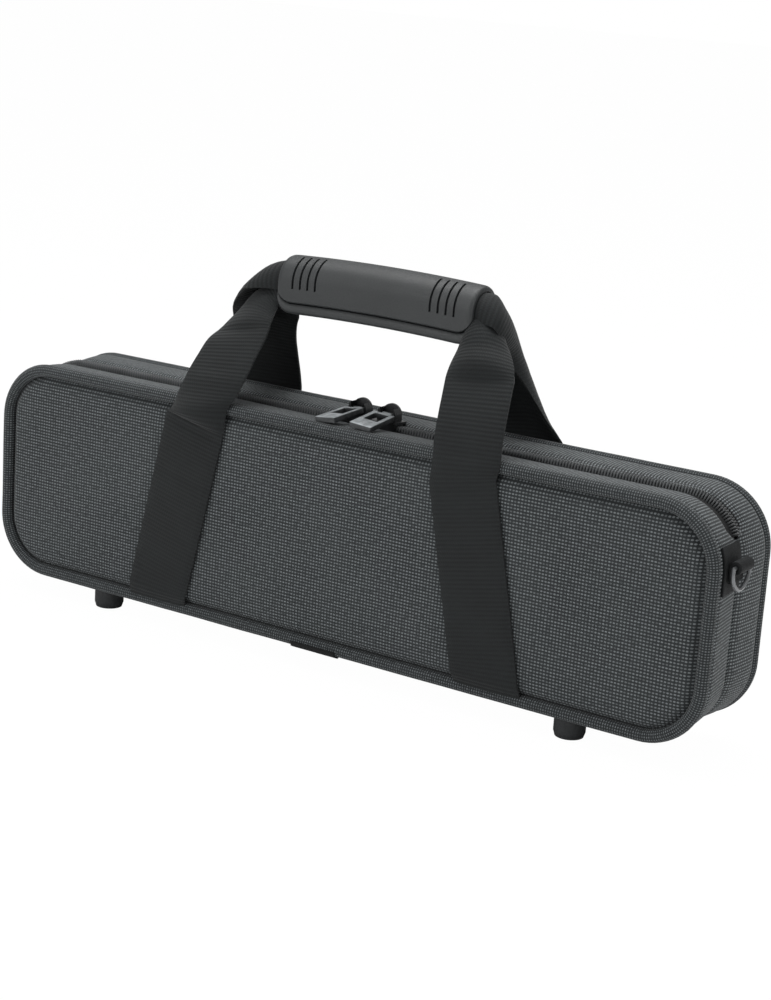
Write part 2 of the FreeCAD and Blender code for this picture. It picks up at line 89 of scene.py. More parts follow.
lamps = {
    "topLamp": {"place": (-0.1, 0.15, 1.5), "size": (1.6, 1.2), "power": 34},
    "frontLamp": {"place": (-0.5, -1.7, 1.0), "size": (1.4, 1.2), "power": 17},
    "rightLamp": {"place": (1.7, -0.3, 0.8), "size": (1.0, 1.0), "power": 8}}
for name, look in lamps.items():
    lamp = bpy.data.objects.new(name, bpy.data.lights.new(name, "AREA"))
    lamp.data.shape = "RECTANGLE"
    lamp.data.size, lamp.data.size_y = look["size"]
    lamp.data.energy = look["power"]
    lamp.location = look["place"]
    lamp.rotation_euler = (Vector((0, 0, 0.1)) - Vector(look["place"])).to_track_quat("-Z", "Y").to_euler()
    bpy.context.collection.objects.link(lamp)
print("camera and lamps set")


# Shader nodes in short calls.


def newMaterial(name):
    material = bpy.data.materials.new(name)
    material.use_nodes = True
    tree = material.node_tree
    return material, tree, tree.nodes["Principled BSDF"]


def calc(tree, operation, first, second=None, third=None):
    node = tree.nodes.new("ShaderNodeMath")
    node.operation = operation
    for socket, value in zip(node.inputs, (first, second, third)):
        if isinstance(value, (int, float)):
            socket.default_value = value
        elif value is not None:
            tree.links.new(value, socket)
    return node.outputs[0]


def ramp(tree, value, low, high, outLow=0.0, outHigh=1.0):
    node = tree.nodes.new("ShaderNodeMapRange")
    node.interpolation_type = "SMOOTHSTEP"
    tree.links.new(value, node.inputs["Value"])
    for label, number in (("From Min", low), ("From Max", high), ("To Min", outLow), ("To Max", outHigh)):
        node.inputs[label].default_value = number
    return node.outputs["Result"]


def mixColour(tree, factor, first, second):
    node = tree.nodes.new("ShaderNodeMix")
    node.data_type = "RGBA"
    tree.links.new(factor, node.inputs["Factor"])
    for socket, value in ((node.inputs[6], first), (node.inputs[7], second)):
        if isinstance(value, tuple):
            socket.default_value = (*value, 1)
        else:
            tree.links.new(value, socket)
    return node.outputs[2]


def addNoise(tree, vector, scale, detail=3.0):
    node = tree.nodes.new("ShaderNodeTexNoise")
    node.inputs["Scale"].default_value = scale
    node.inputs["Detail"].default_value = detail
    tree.links.new(vector, node.inputs["Vector"])
    return node.outputs["Fac"]


def addBump(tree, height, strength, distance):
    node = tree.nodes.new("ShaderNodeBump")
    node.inputs["Strength"].default_value = strength
    node.inputs["Distance"].default_value = distance
    tree.links.new(height, node.inputs["Height"])
    return node.outputs["Normal"]


def placeVector(tree, source):
    if source == "Object":
        return tree.nodes.new("ShaderNodeTexCoord").outputs["Object"]
    node = tree.nodes.new("ShaderNodeUVMap")
    node.uv_map = "cloth"
    return node.outputs["UV"]


def newGroup(name, inputs, outputs):
    group = bpy.data.node_groups.new(name, "ShaderNodeTree")
    for label, value in inputs:
        group.interface.new_socket(label, in_out="INPUT", socket_type="NodeSocketFloat").default_value = value
    for label in outputs:
        group.interface.new_socket(label, in_out="OUTPUT", socket_type="NodeSocketFloat")
    return group, group.nodes.new("NodeGroupInput").outputs, group.nodes.new("NodeGroupOutput").inputs


def useGroup(tree, group, links, values):
    node = tree.nodes.new("ShaderNodeGroup")
    node.node_tree = group
    for label, socket in links.items():
        tree.links.new(socket, node.inputs[label])
    for label, value in values.items():
        node.inputs[label].default_value = value
    return node.outputs


def makeDotGroup():
    # Light dots woven in rows on a dark ground. Across and Along are metres on the cloth.
    group, given, result = newGroup("dottedWeave", [
        ("Across", 0.0), ("Along", 0.0), ("Across Pitch", 0.002), ("Along Pitch", 0.0015),
        ("Across Size", 0.3), ("Along Size", 0.3)], ["Dots", "Height", "Wear"])
    across = calc(group, "DIVIDE", given["Across"], given["Across Pitch"])
    along = calc(group, "DIVIDE", given["Along"], given["Along Pitch"])
    joint = group.nodes.new("ShaderNodeCombineXYZ")
    group.links.new(across, joint.inputs[0])
    group.links.new(along, joint.inputs[1])
    reaches = []
    for value, size in ((across, given["Across Size"]), (along, given["Along Size"])):
        distance = calc(group, "ABSOLUTE", calc(group, "SUBTRACT", calc(group, "FRACT", value), 0.5))
        reaches.append(calc(group, "POWER", calc(group, "DIVIDE", distance, size), 2))
    reach = calc(group, "SQRT", calc(group, "ADD", *reaches))
    uneven = ramp(group, addNoise(group, joint.outputs[0], 0.8, 2), 0.3, 0.62, 0.35, 1.15)
    group.links.new(calc(group, "MULTIPLY", ramp(group, reach, 0.6, 1.15, 1, 0), uneven), result["Dots"])
    group.links.new(ramp(group, reach, 0.2, 1.5, 1, 0), result["Height"])
    group.links.new(addNoise(group, joint.outputs[0], 0.035, 4), result["Wear"])
    return group


def makeRibGroup():
    # Cross ribs of webbing and tape, with the fine yarns that run along them.
    group, given, result = newGroup("ribbedWeave", [
        ("Along", 0.0), ("Across", 0.0), ("Pitch", 0.001)], ["Ribs", "Height"])
    turns = [calc(group, "MULTIPLY", calc(group, "DIVIDE", given[label], given["Pitch"]), 2 * math.pi)
             for label in ("Along", "Across")]
    ribs = calc(group, "SINE", turns[0])
    yarns = calc(group, "SINE", calc(group, "MULTIPLY", turns[1], 1.6))
    shape = calc(group, "MULTIPLY_ADD", ribs, 0.45, 0.5)
    group.links.new(calc(group, "MULTIPLY_ADD", yarns, 0.1, shape), result["Ribs"])
    group.links.new(calc(group, "MULTIPLY_ADD", calc(group, "MULTIPLY", ribs, yarns), 0.25, shape), result["Height"])
    return group


dotGroup = makeDotGroup()
ribGroup = makeRibGroup()


def clothMaterial(name, source, look):
    material, tree, shader = newMaterial(name)
    place = tree.nodes.new("ShaderNodeSeparateXYZ")
    tree.links.new(placeVector(tree, source), place.inputs[0])
    along = place.outputs[2 if source == "Object" else 1]
    marks = useGroup(tree, dotGroup, {"Across": place.outputs[0], "Along": along}, {
        "Across Pitch": look["acrossPitch"], "Along Pitch": look["alongPitch"],
        "Across Size": look["acrossSize"], "Along Size": look["alongSize"]})
    ground = mixColour(tree, ramp(tree, marks["Wear"], 0.3, 0.7), look["ground"], look["groundWorn"])
    tree.links.new(mixColour(tree, marks["Dots"], ground, look["dot"]), shader.inputs["Base Color"])
    tree.links.new(addBump(tree, marks["Height"], look["bump"], 0.0004), shader.inputs["Normal"])
    shader.inputs["Roughness"].default_value = look["roughness"]
    shader.inputs["Sheen Weight"].default_value = look["sheen"]
    shader.inputs["Sheen Roughness"].default_value = 0.5
    shader.inputs["Specular IOR Level"].default_value = look["specular"]
    return material


def webbingMaterial(name, look):
    material, tree, shader = newMaterial(name)
    place = tree.nodes.new("ShaderNodeSeparateXYZ")
    vector = placeVector(tree, "UV")
    tree.links.new(vector, place.inputs[0])
    marks = useGroup(tree, ribGroup, {"Along": place.outputs[0], "Across": place.outputs[1]},
                     {"Pitch": look["pitch"]})
    # Patches where the webbing is worn and faded paler.
    paler = ramp(tree, addNoise(tree, vector, look["patches"], 4), 0.35, 0.7, 0, 0.5)
    ribbed = mixColour(tree, marks["Ribs"], look["valley"], look["crest"])
    tree.links.new(mixColour(tree, paler, ribbed, look["faded"]), shader.inputs["Base Color"])
    tree.links.new(addBump(tree, marks["Height"], look["bump"], 0.0003), shader.inputs["Normal"])
    shader.inputs["Roughness"].default_value = look["roughness"]
    shader.inputs["Sheen Weight"].default_value = look["sheen"]
    shader.inputs["Specular IOR Level"].default_value = look["specular"]
    return material


def mouldedMaterial(name, look):
    material, tree, shader = newMaterial(name)
    vector = placeVector(tree, "Object")
    grain = addNoise(tree, vector, look["grain"], 4)
    patches = ramp(tree, addNoise(tree, vector, look["patches"], 3), 0.3, 0.7)
    tree.links.new(mixColour(tree, patches, look["dark"], look["light"]), shader.inputs["Base Color"])
    tree.links.new(ramp(tree, grain, 0.3, 0.7, look["roughLow"], look["roughHigh"]), shader.inputs["Roughness"])
    tree.links.new(addBump(tree, grain, look["bump"], 0.0002), shader.inputs["Normal"])
    shader.inputs["Metallic"].default_value = look.get("metallic", 0.0)
    shader.inputs["Specular IOR Level"].default_value = look.get("specular", 0.5)
    return material


weave = {"acrossPitch": 0.00182, "alongPitch": 0.0017, "acrossSize": 0.40, "alongSize": 0.28,
         "ground": (0.0105, 0.0125, 0.0135), "groundWorn": (0.015, 0.0175, 0.0185), "dot": (0.108, 0.119, 0.1235),
         "bump": 0.5, "roughness": 0.85, "sheen": 0.06, "specular": 0.25}
panelCloth = clothMaterial("panelCloth", "Object", weave)
gussetCloth = clothMaterial("gussetCloth", "UV", {
    **weave, "acrossPitch": 0.0017, "alongPitch": 0.00182, "acrossSize": 0.27, "alongSize": 0.42,
    "dot": (0.145, 0.158, 0.163)})
pipingCloth = clothMaterial("pipingCloth", "UV", {
    **weave, "acrossPitch": 0.00135, "alongPitch": 0.0015, "acrossSize": 0.27, "alongSize": 0.36,
    "dot": (0.092, 0.102, 0.106), "ground": (0.0085, 0.0102, 0.011), "groundWorn": (0.012, 0.014, 0.015)})
strapWebbing = webbingMaterial("strapWebbing", {
    "pitch": 0.0022, "patches": 35, "valley": (0.0025, 0.003, 0.0033), "crest": (0.0068, 0.0084, 0.0088),
    "faded": (0.0072, 0.009, 0.0094), "bump": 0.6, "roughness": 0.8, "sheen": 0.06, "specular": 0.2})
tapeCloth = webbingMaterial("tapeCloth", {
    "pitch": 0.0008, "patches": 60, "valley": (0.002, 0.002, 0.0022), "crest": (0.004, 0.0042, 0.0045),
    "faded": (0.005, 0.0052, 0.0055), "bump": 0.5, "roughness": 0.85, "sheen": 0.05, "specular": 0.15})
coilNylon = mouldedMaterial("coilNylon", {
    "grain": 900, "patches": 60, "dark": (0.02, 0.022, 0.0233), "light": (0.036, 0.0395, 0.0415), "roughLow": 0.4,
    "roughHigh": 0.5, "bump": 0.1})
gripRubber = mouldedMaterial("gripRubber", {
    "grain": 1400, "patches": 30, "dark": (0.0088, 0.0104, 0.011), "light": (0.0122, 0.0142, 0.015), "roughLow": 0.48,
    "roughHigh": 0.62, "bump": 0.25, "specular": 0.45})
footRubber = mouldedMaterial("footRubber", {
    "grain": 1200, "patches": 60, "dark": (0.006, 0.007, 0.0075), "light": (0.012, 0.013, 0.014), "roughLow": 0.5,
    "roughHigh": 0.7, "bump": 0.3, "specular": 0.3})
sliderMetal = mouldedMaterial("sliderMetal", {
    "grain": 500, "patches": 90, "dark": (0.006, 0.0065, 0.007), "light": (0.016, 0.017, 0.018), "roughLow": 0.25,
    "roughHigh": 0.4, "bump": 0.05, "metallic": 0.3})
# The pull's metal in two copies: a lighter one as a painted highlight on faces that look up, a darker one as painted
# shade on the sides.
pullPaintedLitTop = mouldedMaterial("pullPaintedLitTop", {
    "grain": 700, "patches": 260, "dark": (0.16, 0.172, 0.178), "light": (0.30, 0.32, 0.33), "roughLow": 0.4,
    "roughHigh": 0.6, "bump": 0.12, "metallic": 0.6})
pullPaintedShadeSide = mouldedMaterial("pullPaintedShadeSide", {
    "grain": 700, "patches": 260, "dark": (0.018, 0.0195, 0.0205), "light": (0.04, 0.043, 0.045), "roughLow": 0.4,
    "roughHigh": 0.6, "bump": 0.12, "metallic": 0.4})
ringSteel = mouldedMaterial("ringSteel", {
    "grain": 500, "patches": 90, "dark": (0.07, 0.073, 0.076), "light": (0.14, 0.145, 0.15), "roughLow": 0.25,
    "roughHigh": 0.38, "bump": 0.05, "metallic": 0.8})
plushPile = mouldedMaterial("plushPile", {
    "grain": 2200, "patches": 140, "dark": (0.013, 0.014, 0.018), "light": (0.022, 0.024, 0.030), "roughLow": 0.85,
    "roughHigh": 1.0, "bump": 0.8, "specular": 0.1})
foamLook = mouldedMaterial("foamLook", {
    "grain": 1500, "patches": 50, "dark": (0.02, 0.02, 0.022), "light": (0.035, 0.035, 0.038), "roughLow": 0.8,
    "roughHigh": 1.0, "bump": 0.6, "specular": 0.15})
patchCloth = mouldedMaterial("patchCloth", {
    "grain": 1800, "patches": 120, "dark": (0.0035, 0.004, 0.0045), "light": (0.0065, 0.0075, 0.008), "roughLow": 0.7,
    "roughHigh": 0.9, "bump": 0.6, "specular": 0.2})
print("materials made")


# Pieces from mesh code, and the ways round the case's outline.


def clearSelection():
    for item in bpy.data.objects:
        item.select_set(False)


def selectOnly(*pieces):
    # The last piece given becomes the active one.
    clearSelection()
    for piece in pieces:
        piece.select_set(True)
    bpy.context.view_layer.objects.active = pieces[-1]


def applyModifier(piece, kind, **settings):
    selectOnly(piece)
    modifier = piece.modifiers.new(kind, kind)
    for label, value in settings.items():
        setattr(modifier, label, value)
    bpy.ops.object.modifier_apply(modifier=kind)


def meshObject(name, form):
    piece = bpy.data.objects.new(name, bpy.data.meshes.new(name))
    form.to_mesh(piece.data)
    form.free()
    bpy.context.collection.objects.link(piece)
    return piece


def addPiece(name, form, material, body, replaced=(), angle=50):
    piece = meshObject(name, form)
    piece.data.materials.append(material)
    finishPiece(piece, body, replaced, angle)
    return piece


def finishPiece(piece, body, replaced, angle):
    selectOnly(piece)
    bpy.ops.object.shade_smooth_by_angle(angle=math.radians(angle))
    if body:
        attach(piece, body)
    if replaced:
        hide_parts(*replaced)


def skinRows(form, rows, markAt=None, closedAcross=False, closedAlong=False, capped=False):
    # Faces between rows of points. "markAt" gives a corner's place on the flat cloth, in metres.
    layer = form.loops.layers.uv.get("cloth") or form.loops.layers.uv.new("cloth")
    grid = [[form.verts.new(point) for point in row] for row in rows]
    count, width = len(rows), len(rows[0])
    faces = []
    for i in range(count if closedAlong else count - 1):
        for j in range(width if closedAcross else width - 1):
            after, beside = (i + 1) % count, (j + 1) % width
            face = form.faces.new((grid[i][j], grid[after][j], grid[after][beside], grid[i][beside]))
            if markAt:
                for loop, mark in zip(face.loops, ((i, j), (i + 1, j), (i + 1, j + 1), (i, j + 1))):
                    loop[layer].uv = markAt(*mark)
            faces.append(face)
    if capped:
        faces += [form.faces.new(grid[0]), form.faces.new(grid[-1])]
    bmesh.ops.recalc_face_normals(form, faces=faces)


def smoothStep(low, high, value):
    share = min(1.0, max(0.0, (value - low) / (high - low)))
    return share * share * (3 - 2 * share)


def makeStations(spacing, cornerSteps):
    # Places round the outline: the corner's centre or a point level with it, the way out, the run so far.
    x, z = case["runX"], case["runZ"]
    lines = [((0, -z), (x, -z)), ((x, -z), (x, z)), ((x, z), (-x, z)), ((-x, z), (-x, -z)), ((-x, -z), (0, -z))]
    stations = []
    run = 0.0
    for index, (start, end) in enumerate(lines):
        length = math.dist(start, end)
        steps = max(2, round(length / spacing))
        angle = 90 * index - 90
        for step in range(steps):
            place = [a + (b - a) * step / steps for a, b in zip(start, end)]
            stations.append((place[0], place[1], math.radians(angle), run + length * step / steps))
        run += length
        if index < 4:
            arc = case["corner"] * math.pi / 2
            for step in range(cornerSteps):
                turn = math.radians(angle + 90 * step / cornerSteps)
                stations.append((end[0], end[1], turn, run + arc * step / cornerSteps))
            run += arc
    return stations, run


def atOutline(station, inset, depth):
    x, z, angle, run = station
    reach = case["corner"] - inset
    return Vector((x + math.cos(angle) * reach, depth, case["middle"] + z + math.sin(angle) * reach)) * mm


def topAngle(station):
    x, z, angle, run = station
    return abs(angle - math.pi / 2) if z > 0 else math.pi


def sweepRing(form, sectionAt):
    # A section carried round the whole outline.
    rows = []
    lengths = []
    for station in stations:
        section = sectionAt(station)
        rows.append([atOutline(station, inset, depth) for inset, depth in section])
        if not lengths:
            lengths = [0.0]
            for a, b in zip(section, section[1:] + section[:1]):
                lengths.append(lengths[-1] + math.dist(a, b))

    def markAt(i, j):
        run = stations[i][3] if i < len(stations) else around
        return run * mm, lengths[j] * mm

    skinRows(form, rows, markAt, closedAcross=True, closedAlong=True)


stations, around = makeStations(spacing=4.0, cornerSteps=16)


# Padded walls, piping and panels of the two halves.

# A section's points give the inset from the case's outline and the depth from the zip's middle.
gusset = {"fall": 2.0, "fallPower": 1.7, "inset": 1.0, "farDepth": 24.2, "inner": 4.9, "innerDepth": 24.4,
          "wrinkle": 0.45, "wrinkleScale": (0.012, 0.05), "seed": 3.7, "seamHalf": 0.35, "zipSlack": 0.55,
          "zipFade": (-0.05, 0.06), "edgeDrop": 0.7, "edgeWidth": 2.6, "hem": ((4.3, 0.5), (3.6, 0.1)),
          "fold": ((1.0, 0.1), (0.35, 0.55), (0.05, 1.4)), "shares": (0.1, 0.2, 0.32, 0.44, 0.56, 0.68, 0.8, 0.9),
          "seamDrop": 0.25, "rim": 1.3, "rimDepth": 25.2, "rimLevel": 25.4, "foot": (3.8, 26.4)}
piping = {"uneven": 0.15, "unevenScale": 0.03, "seed": 5.1, "sides": 20}
padding = {"foot": 26.2, "rise": 3.9, "riseFrom": (5.4, 11.5), "swell": 0.75, "swellFrom": (9, 20), "wave": 0.35,
           "waveScale": (0.014, 0.02), "seed": 2.2, "pressed": 0.45, "pressedTo": (17, 24), "lip": 0.2,
           "lipAt": 25, "lipWidth": 7, "weld": 0.16,
           "insets": (5.2, 5.8, 6.4, 7.0, 7.8, 8.7, 9.7, 11, 12.5, 14.5, 17, 20, 24, 28, 32.9)}


def gussetSection(hand):
    def sectionAt(station):
        fade = [case["zipEnd"] + offset for offset in gusset["zipFade"]]
        zipped = 1 - smoothStep(*fade, topAngle(station))
        near = gusset["seamHalf"] + (case["zipHalf"] - gusset["zipSlack"]) * zipped
        along, across = gusset["wrinkleScale"]

        def surface(depth):
            share = max(0.0, (gusset["farDepth"] - depth) / gusset["farDepth"])
            fall = gusset["fall"] * share ** gusset["fallPower"]
            spot = Vector((station[3] * along, depth * across, hand * gusset["seed"]))
            edge = gusset["edgeDrop"] * math.exp(-((depth - near) / gusset["edgeWidth"]) ** 2)
            return gusset["inset"] + fall + edge + noise.noise(spot) * gusset["wrinkle"]

        section = [(inset, near + depth) for inset, depth in gusset["hem"]]
        section += [(surface(near) + inset, near + depth) for inset, depth in gusset["fold"]]
        start = section[-1][1]
        for share in gusset["shares"]:
            depth = start + (gusset["farDepth"] - start) * share
            section.append((surface(depth), depth))
        section.append((surface(gusset["farDepth"]) + gusset["seamDrop"], gusset["farDepth"]))
        section += [(surface(gusset["rimLevel"]) + gusset["rim"], gusset["rimDepth"]), gusset["foot"]]
        section += [(gusset["inner"], gusset["innerDepth"]), (gusset["inner"], start)]
        return [(inset, hand * depth) for inset, depth in section]
    return sectionAt


def pipingSection(hand):
    def sectionAt(station):
        spot = Vector((station[3] * piping["unevenScale"], hand * piping["seed"], 0))
        radius = case["pipingRadius"] - piping["uneven"] + noise.noise(spot) * piping["uneven"]
        section = []
        for step in range(piping["sides"]):
            turn = 2 * math.pi * step / piping["sides"]
            depth = case["pipingDepth"] + radius * math.sin(turn)
            section.append((case["pipingRadius"] - radius * math.cos(turn), hand * depth))
        return section
    return sectionAt


def strapMiddle(z):
    return case["strapAt"] - (z - case["middle"]) * math.tan(case["strapLean"])


def panelRise(x, z, inset, hand):
    # The panel's face swells from its edge, and is pressed down under the straps.
    edge = smoothStep(*padding["riseFrom"], inset)
    crown = smoothStep(*padding["swellFrom"], inset)
    scaleX, scaleZ = padding["waveScale"]
    wave = noise.noise(Vector((x * scaleX, z * scaleZ, hand * padding["seed"])))
    fromStrap = abs(abs(x) - strapMiddle(z + case["middle"]))
    lip = padding["lip"] * math.exp(-((fromStrap - padding["lipAt"]) / padding["lipWidth"]) ** 2)
    pressed = padding["pressed"] * (1 - smoothStep(*padding["pressedTo"], fromStrap)) - lip
    swell = padding["swell"] + wave * padding["wave"] - pressed
    return padding["foot"] + padding["rise"] * edge + swell * crown


def makePanel(hand):
    label, body = bodies[hand]
    form = bmesh.new()

    def at(x, z, inset):
        return Vector((x, hand * panelRise(x, z, inset, hand), z + case["middle"])) * mm

    rings = []
    for inset in padding["insets"]:
        ring = []
        for x, z, angle, run in stations:
            reach = case["corner"] - inset
            ring.append(at(x + math.cos(angle) * reach, z + math.sin(angle) * reach, inset))
        rings.append(ring)
    skinRows(form, rings, closedAcross=True)
    columns = sorted({round(station[0], 4) for station in stations})
    levels = sorted({round(station[1], 4) for station in stations})
    skinRows(form, [[at(x, z, padding["insets"][-1]) for z in levels] for x in columns])
    bmesh.ops.remove_doubles(form, verts=form.verts, dist=padding["weld"] * mm)
    for face in form.faces:
        face.normal_update()
        if face.normal.y * hand < 0:
            face.normal_flip()
    panel = addPiece(label + "Panel", form, panelCloth, body, [label + "_panel"], angle=60)


for hand, (label, body) in bodies.items():
    form = bmesh.new()
    sweepRing(form, gussetSection(hand))
    wall = addPiece(label + "Gusset", form, gussetCloth, body, [label + "_shell"])
    form = bmesh.new()
    sweepRing(form, pipingSection(hand))
    addPiece(label + "Piping", form, pipingCloth, body, [label + "_piping"], angle=80)
    makePanel(hand)
print("halves made")


# Webbing straps: sewn to the panels, free above them, folded through the grip.

strap = {"width": 38.0, "thickness": 1.9, "low": 15.0, "bend": 117.5, "sewnDepth": 31.95, "radius": {-1: 6.2, 1: 8.8},
         "seams": (16.0, 43.0), "seamDip": 0.35, "seamWidth": 0.8, "hem": (13, 22), "hemDip": 2.6, "leanRise": 22,
         "tuck": {-1: 6.0, 1: 0.0}, "tuckFrom": (36, 26), "edge": 0.6, "steps": 16, "sewnSteps": 80, "freeSteps": 5,
         "gripSteps": 20}
grip = {"half": 59.0, "shift": 7.0, "radius": 13.0, "wall": 2.8, "leg": 10.5, "y": 5.0, "z": 194.5, "arch": 1.6,
        "corner": 9.0, "low": 16.5}

# Stations of each free end, from the panel to the grip: the inner edge, the outer edge, the way it bulges.
freeEnds = {
    (-1, 1): [
        ((64.8, -31.9, 127), (102.6, -31.9, 130), (0, -1, 0)),
        ((63.9, -30.6, 136.4), (102.2, -30.6, 139), (0, -1, 0.1)),
        ((62.6, -27.3, 147), (102.0, -27.0, 150), (0, -1, 0.3)),
        ((61.2, -22, 157.5), (100.2, -21.2, 161.5), (0.1, -1, 0.4)),
        ((60.3, -15.8, 167), (96.2, -14.0, 171), (0.3, -1, 0.6)),
        ((60.6, -9.2, 175.4), (87.0, -3.6, 177.8), (0.5, -0.6, 0.7)),
        ((62.0, -4.6, 180.5), (76.0, 6.0, 183), (0.6, 0, 0.9)),
        ((65, -1.6, 184), (68.5, 10.6, 184.8), (0.2, 0, 1)),
    ],
    (1, 1): [
        ((66.0, 32.1, 127), (101.6, 32.1, 129), (0, 1, 0)),
        ((63.2, 30.2, 138), (93.0, 29.0, 139.8), (0.1, 1, 0.1)),
        ((60.6, 28.5, 149), (86.2, 24.5, 151.5), (0.3, 1, 0.2)),
        ((58.6, 26, 160), (81.0, 19.0, 162), (0.6, 0.9, 0.3)),
        ((58.4, 22.5, 170), (76.4, 11.5, 171.7), (0.65, 0.7, 0.5)),
        ((60.8, 18.5, 178.5), (79.2, 2.2, 180.3), (0.75, 0.3, 0.8)),
        ((64.0, 16, 185.5), (79.0, -5.4, 188.4), (0.5, 0, 1)),
        ((66.0, 14.6, 189), (72.0, -5.2, 190.4), (0.2, 0, 1)),
    ],
    (-1, -1): [
        ((-62, -31.9, 127), (-97.5, -31.9, 124), (0, -1, 0)),
        ((-57.2, -30.9, 135.5), (-94.6, -30.9, 132.6), (0, -1, 0.1)),
        ((-53.9, -27.6, 146), (-91.7, -27.5, 143.1), (0, -1, 0.3)),
        ((-51.4, -22.6, 156.6), (-90.2, -22, 152), (0, -1, 0.4)),
        ((-49.9, -17.3, 166), (-88.5, -16.4, 159.5), (-0.1, -1, 0.6)),
        ((-50.8, -13, 173.2), (-86.4, -6.5, 164.8), (-0.3, -1, 0.9)),
        ((-51.5, -9, 177.5), (-83.5, 6.5, 173.7), (-0.6, -0.5, 1)),
        ((-52, -5.5, 181), (-74.5, 10.6, 182.6), (-0.3, 0, 1)),
        ((-52, -2.4, 184), (-61, 11.2, 184.8), (-0.1, 0, 1)),
    ],
    (1, -1): [
        ((-61.2, 32.1, 127), (-98, 32.1, 126), (0, 1, 0)),
        ((-58.6, 29.8, 138), (-99.4, 29.5, 136.5), (0, 1, 0.1)),
        ((-57.2, 26, 149.5), (-100.2, 25.5, 148.5), (-0.2, 1, 0.2)),
        ((-57.0, 22.8, 160), (-99.4, 19.4, 160.5), (-0.4, 0.8, 0.4)),
        ((-56.2, 20, 168.5), (-94.8, 11.4, 171.8), (-0.6, 0.6, 0.7)),
        ((-55.4, 18, 175), (-86.0, 4.2, 180.6), (-0.7, 0.3, 1)),
        ((-54.2, 16.4, 183), (-76.4, -3.4, 186.6), (-0.45, 0, 1)),
        ((-53.6, 15.0, 187.6), (-67.5, -4.4, 188.6), (-0.3, 0, 1)),
        ((-52.4, 14.2, 189.2), (-58.5, -4.2, 189.5), (-0.1, 0, 1)),
    ],
}


def archedGrip(x):
    return grip["arch"] * max(0.0, 1 - ((x - grip["shift"]) / grip["half"]) ** 2)


def refined(points, steps):
    # More stations, on a smooth curve through the given ones.
    ends = [points[0]] + points + [points[-1]]
    fine = []
    for a, b, c, d in zip(ends, ends[1:], ends[2:], ends[3:]):
        for step in range(steps):
            t = step / steps
            fine.append([
                0.5 * (2 * q + (r - p) * t + (2 * p - 5 * q + 4 * r - s) * t * t + (3 * q - p - 3 * r + s) * t ** 3)
                for p, q, r, s in zip(a, b, c, d)])
    return fine + [list(points[-1])]


def webbingRow(inner, outer, bulge, tuck=0.0):
    # The webbing's section between its two edges: flat, or an arc of its full width, or an arc with two legs.
    width = strap["width"] - tuck * smoothStep(*strap["tuckFrom"], (outer - inner).length)
    across = (outer - inner).normalized()
    up = (bulge - across * bulge.dot(across)).normalized()
    chord = min((outer - inner).length, width * 0.9995)  # Never quite flat, or the radius has no end.
    middle = (inner + outer) / 2
    half = math.pi / 2
    if chord > 2 * width / math.pi:  # Half the arc's turn, by halving the range.
        low, high = 0.0, math.pi / 2
        for _ in range(30):
            half = (low + high) / 2
            low, high = (half, high) if math.sin(half) / half > chord / width else (low, half)
    radius = chord / 2 / math.sin(half)
    legs = width - 2 * half * radius
    base = middle + up * (legs / 2)
    faces = []
    for lift in (0.5, -0.5):
        face = []
        for step in range(strap["steps"] + 1):
            place = width * (step / strap["steps"] - 0.5)
            bent = max(legs / 2 - width / 2, min(width / 2 - legs / 2, place))
            turn = bent / radius
            reach = radius + strap["thickness"] * lift * (strap["edge"] if step in (0, strap["steps"]) else 1.0)
            rise = reach * math.cos(turn) - radius * math.cos(half)
            face.append((base + across * reach * math.sin(turn) + up * (rise - abs(place - bent))) * mm)
        faces.append(face)
    return faces[0] + faces[1][::-1]


def parted(station):
    return Vector(station[:3]), Vector(station[3:6]), Vector(station[6:])


def freeRows(hand, end):
    route = [[*inner, *outer, *bulge] for inner, outer, bulge in freeEnds[hand, end]]
    place = grip["shift"] + end * grip["half"]
    leg = (strap["width"] - math.pi * strap["radius"][hand]) / 2
    edges = [(place, grip["y"] + side * strap["radius"][hand], grip["z"] - leg) for side in (-hand, hand)]
    route = [sewnStation(hand, end, strap["bend"])] + route + [[*edges[1], *edges[0], 0, 0, 1]]
    return [webbingRow(*parted(station), strap["tuck"][hand]) for station in refined(route, strap["freeSteps"])]


def sewnStation(hand, end, z):
    lean = case["strapLean"] * smoothStep(strap["low"], strap["low"] + strap["leanRise"], z)
    depth = hand * (strap["sewnDepth"] - strap["hemDip"] * (1 - smoothStep(*strap["hem"], z)))
    for seam in strap["seams"]:
        depth -= hand * strap["seamDip"] * math.exp(-((z - case["middle"] - seam) / strap["seamWidth"]) ** 2)
    way = Vector((end * math.cos(lean), 0, math.sin(lean))) * (strap["width"] / 2)
    middle = Vector((end * strapMiddle(z), depth, z))
    return [*(middle - way), *(middle + way), 0, hand, 0]


def sewnRows(hand, end):
    steps = strap["sewnSteps"]
    spots = [strap["low"] + (strap["bend"] - strap["low"]) * step / steps for step in range(steps)]
    return [webbingRow(*parted(sewnStation(hand, end, z))) for z in spots]


